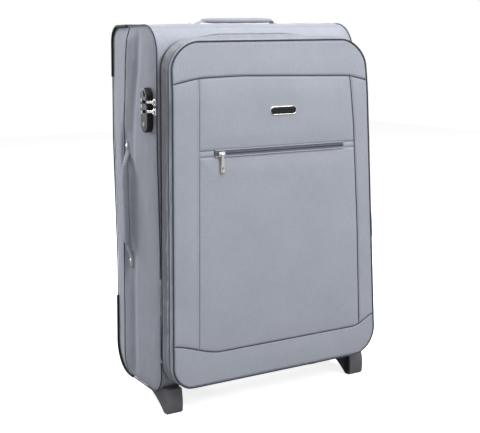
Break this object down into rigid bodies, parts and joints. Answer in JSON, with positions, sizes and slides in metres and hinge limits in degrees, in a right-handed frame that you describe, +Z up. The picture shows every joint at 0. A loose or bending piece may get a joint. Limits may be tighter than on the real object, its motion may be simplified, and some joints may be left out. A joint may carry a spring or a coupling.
{
  "type": "softside upright suitcase",
  "caption": "Softside upright suitcase on two rear wheels, with a zipped, expanding lid, front pocket, side and top carrying handles, side combination lock and a telescopic handle.",
  "frame": {"origin": "on the ground, under the middle of the whole suitcase's box", "axes": "+Z up, -Y out of the front panel, +X to the right of a person facing the front"},
  "size_m": [0.4945, 0.2737, 0.773],
  "materials": {
    "front_cloth": "woven polyester, matt with a slight sheen",
    "side_cloth": "woven polyester, matt",
    "piping_cloth": "tightly wrapped piping",
    "lining_cloth": "thin woven lining, slightly shiny",
    "zip_tape": "knitted zip tape with nylon coil",
    "moulded_black": "grained moulding",
    "foot_plastic": "fine-grained moulding",
    "lock_black": "satin black",
    "back_plastic": "smooth board",
    "tread_rubber": "matt tread",
    "plated_metal": "bright plating",
    "tube_metal": "satin anodised",
    "steel": "zinc-plated"
  },
  "bodies": {
    "case": {"left_side_panel": "side_cloth", "right_side_panel": "side_cloth", "top_panel": "front_cloth", "bottom_panel": "side_cloth", "back_panel": "side_cloth", "front_border": "side_cloth", "edge_piping": "piping_cloth", "lining": "lining_cloth", "frame_hoops": "steel", "back_board": "back_plastic", "tube_cover": "lining_cloth", "corner_guards": "moulded_black", "wheel_housings": "moulded_black", "wheel_axles": "steel", "feet": "foot_plastic", "fixing_screws": "steel", "handle_bezel": "moulded_black", "outer_tubes": "tube_metal", "side_handle_strap": "side_cloth", "top_handle_strap": "side_cloth", "handle_rivets": "plated_metal", "lock_body": "lock_black", "case_zip_tape": "zip_tape", "hinge_strip": "side_cloth", "main_sliders": "plated_metal"},
    "lid_wall": {"lid_zip_tape": "zip_tape", "rear_gusset": "front_cloth", "expansion_gusset": "side_cloth"},
    "lid": {"front_gusset": "front_cloth", "front_piping": "piping_cloth", "lid_board": "lining_cloth", "front_yoke": "front_cloth", "front_band": "front_cloth", "front_side_strips": "front_cloth", "front_centre": "front_cloth", "front_pocket": "front_cloth", "pocket_zip": "zip_tape", "badge": "lock_black"},
    "left_wheel_set": {"left_wheel": "moulded_black", "left_tyre": "tread_rubber"},
    "right_wheel_set": {"right_wheel": "moulded_black", "right_tyre": "tread_rubber"},
    "middle_stage": {"middle_tubes": "tube_metal"},
    "grip_stage": {"inner_tubes": "tube_metal", "trolley_grip": "moulded_black"},
    "grip_release": {"grip_button": "lock_black", "release_rods": "steel"},
    "side_carry_handle": {"side_handle_grip": "side_cloth"},
    "top_carry_handle": {"top_handle_grip": "side_cloth"},
    "dial_1": {"lock_dial_1": "plated_metal"},
    "dial_2": {"lock_dial_2": "plated_metal"},
    "dial_3": {"lock_dial_3": "plated_metal"},
    "lock_release": {"lock_button": "lock_black"},
    "key_barrel": {"key_cylinder": "plated_metal"},
    "upper_pull": {"main_pull_upper": "plated_metal"},
    "lower_pull": {"main_pull_lower": "plated_metal"},
    "pocket_zip_slider": {"pocket_slider": "plated_metal"},
    "pocket_zip_pull": {"pocket_pull": "plated_metal"},
    "expansion_zip_slider": {"expansion_slider": "plated_metal"},
    "expansion_zip_pull": {"expansion_pull": "plated_metal"}
  },
  "joints": [
    {"name": "lid_opens", "type": "hinge", "parent": "case", "child": "lid_wall", "pos_m": [0.2435, -0.083, 0.395], "axis": [0, 0, 1], "range_deg": [0, 170], "deforming": ["hinge_strip"]},
    {"name": "case_expands", "type": "slide", "parent": "lid_wall", "child": "lid", "axis": [0, -1, 0], "range_m": [0, 0.05], "deforming": ["expansion_gusset"]},
    {"name": "left_wheel_rolls", "type": "hinge", "parent": "case", "child": "left_wheel_set", "pos_m": [-0.1625, 0.104, 0.029], "axis": [1, 0, 0], "continuous": true},
    {"name": "right_wheel_rolls", "type": "hinge", "parent": "case", "child": "right_wheel_set", "pos_m": [0.1675, 0.104, 0.029], "axis": [1, 0, 0], "continuous": true},
    {"name": "middle_stage_rises", "type": "slide", "parent": "case", "child": "middle_stage", "axis": [0, 0, 1], "range_m": [0, 0.17]},
    {"name": "grip_stage_rises", "type": "slide", "parent": "middle_stage", "child": "grip_stage", "axis": [0, 0, 1], "range_m": [0, 0.17]},
    {"name": "grip_button_press", "type": "slide", "parent": "grip_stage", "child": "grip_release", "axis": [0, 0, -1], "range_m": [0, 0.0035], "stiffness_N_per_m": 500, "springref_m": -0.005},
    {"name": "side_handle_lifts", "type": "slide", "parent": "case", "child": "side_carry_handle", "axis": [-1, 0, 0], "range_m": [0, 0.015], "deforming": ["side_handle_strap"]},
    {"name": "top_handle_lifts", "type": "slide", "parent": "case", "child": "top_carry_handle", "axis": [0, 0, 1], "range_m": [0, 0.018], "deforming": ["top_handle_strap"]},
    {"name": "dial_1_turns", "type": "hinge", "parent": "case", "child": "dial_1", "pos_m": [-0.2418, -0.0392, 0.593], "axis": [0, 0, 1], "continuous": true},
    {"name": "dial_2_turns", "type": "hinge", "parent": "case", "child": "dial_2", "pos_m": [-0.2418, -0.0392, 0.605], "axis": [0, 0, 1], "continuous": true},
    {"name": "dial_3_turns", "type": "hinge", "parent": "case", "child": "dial_3", "pos_m": [-0.2418, -0.0392, 0.617], "axis": [0, 0, 1], "continuous": true},
    {"name": "lock_button_press", "type": "slide", "parent": "case", "child": "lock_release", "axis": [1, 0, 0], "range_m": [0, 0.002], "stiffness_N_per_m": 300, "springref_m": -0.003},
    {"name": "key_turns", "type": "hinge", "parent": "case", "child": "key_barrel", "pos_m": [-0.2458, -0.049, 0.57], "axis": [1, 0, 0], "range_deg": [0, 90]},
    {"name": "upper_pull_swings", "type": "hinge", "parent": "case", "child": "upper_pull", "pos_m": [-0.2411, -0.083, 0.613], "axis": [0, 0, 1], "range_deg": [0, 150]},
    {"name": "lower_pull_swings", "type": "hinge", "parent": "case", "child": "lower_pull", "pos_m": [-0.2411, -0.083, 0.595], "axis": [0, 0, 1], "range_deg": [0, 150]},
    {"name": "pocket_zip_runs", "type": "slide", "parent": "lid", "child": "pocket_zip_slider", "axis": [1, 0, 0], "range_m": [0, 0.275]},
    {"name": "pocket_pull_swings", "type": "hinge", "parent": "pocket_zip_slider", "child": "pocket_zip_pull", "pos_m": [-0.1225, -0.1339, 0.512], "axis": [-1, 0, 0], "range_deg": [0, 150]},
    {"name": "expansion_zip_runs", "type": "slide", "parent": "lid", "child": "expansion_zip_slider", "axis": [-0.0356, 0, 0.9994], "range_m": [-0.15, 0.3]},
    {"name": "expansion_pull_swings", "type": "hinge", "parent": "expansion_zip_slider", "child": "expansion_zip_pull", "pos_m": [0.24333, -0.112, 0.28821], "axis": [0, -1, 0], "range_deg": [0, 150]}
  ]
}
